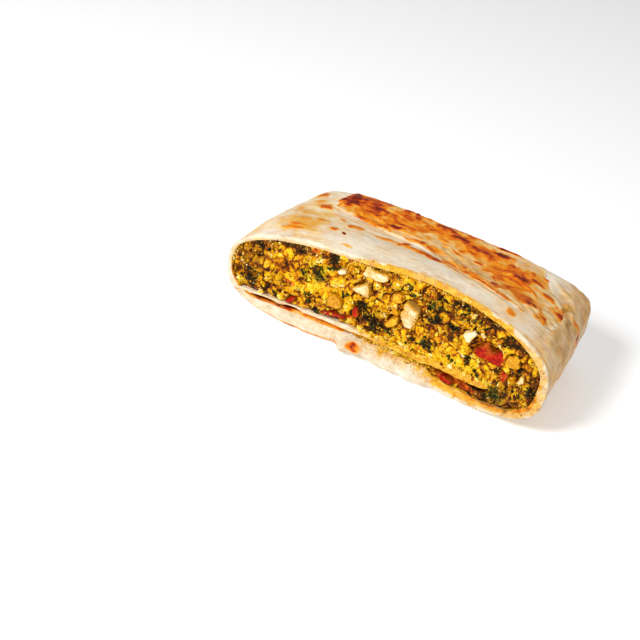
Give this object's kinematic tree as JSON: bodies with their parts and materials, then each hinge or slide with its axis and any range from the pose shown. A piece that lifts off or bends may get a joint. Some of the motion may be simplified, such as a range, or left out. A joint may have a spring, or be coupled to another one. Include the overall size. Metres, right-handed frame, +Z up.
{
  "type": "falafel pita half",
  "caption": "Half of a toasted falafel wrap: soft flat bread folded into a flat parcel, cut across to show the crumbly herbed filling.",
  "frame": {"origin": "the middle of the bounding box's underside, on the surface that the half rests on", "axes": "+X along the cut's long side, +Y from the cut to the folded back, +Z up; the cut faces -Y"},
  "size_m": [0.1112, 0.057, 0.0375],
  "materials": {
    "bread": "soft, matt, browned in patches",
    "filling": "crumbly, slightly moist",
    "onion": "moist, slightly translucent",
    "white": "matt",
    "pepper": "moist, glossy",
    "chickpea": "satin"
  },
  "bodies": {
    "root": {"bread": "bread", "filling": "filling", "onion_slice": "onion", "onion_wedge": "onion", "onion_chunk": "onion", "onion_end": "onion", "white_cube": "white", "white_bit": "white", "pepper_large": "pepper", "pepper_tail": "pepper", "pepper_strip": "pepper", "pepper_corner": "pepper", "pepper_bit": "pepper", "pepper_pocket": "pepper", "chickpea_small": "chickpea", "chickpea_chunk": "chickpea", "chickpea_half": "chickpea", "chickpea_end": "chickpea"}
  },
  "joints": []
}
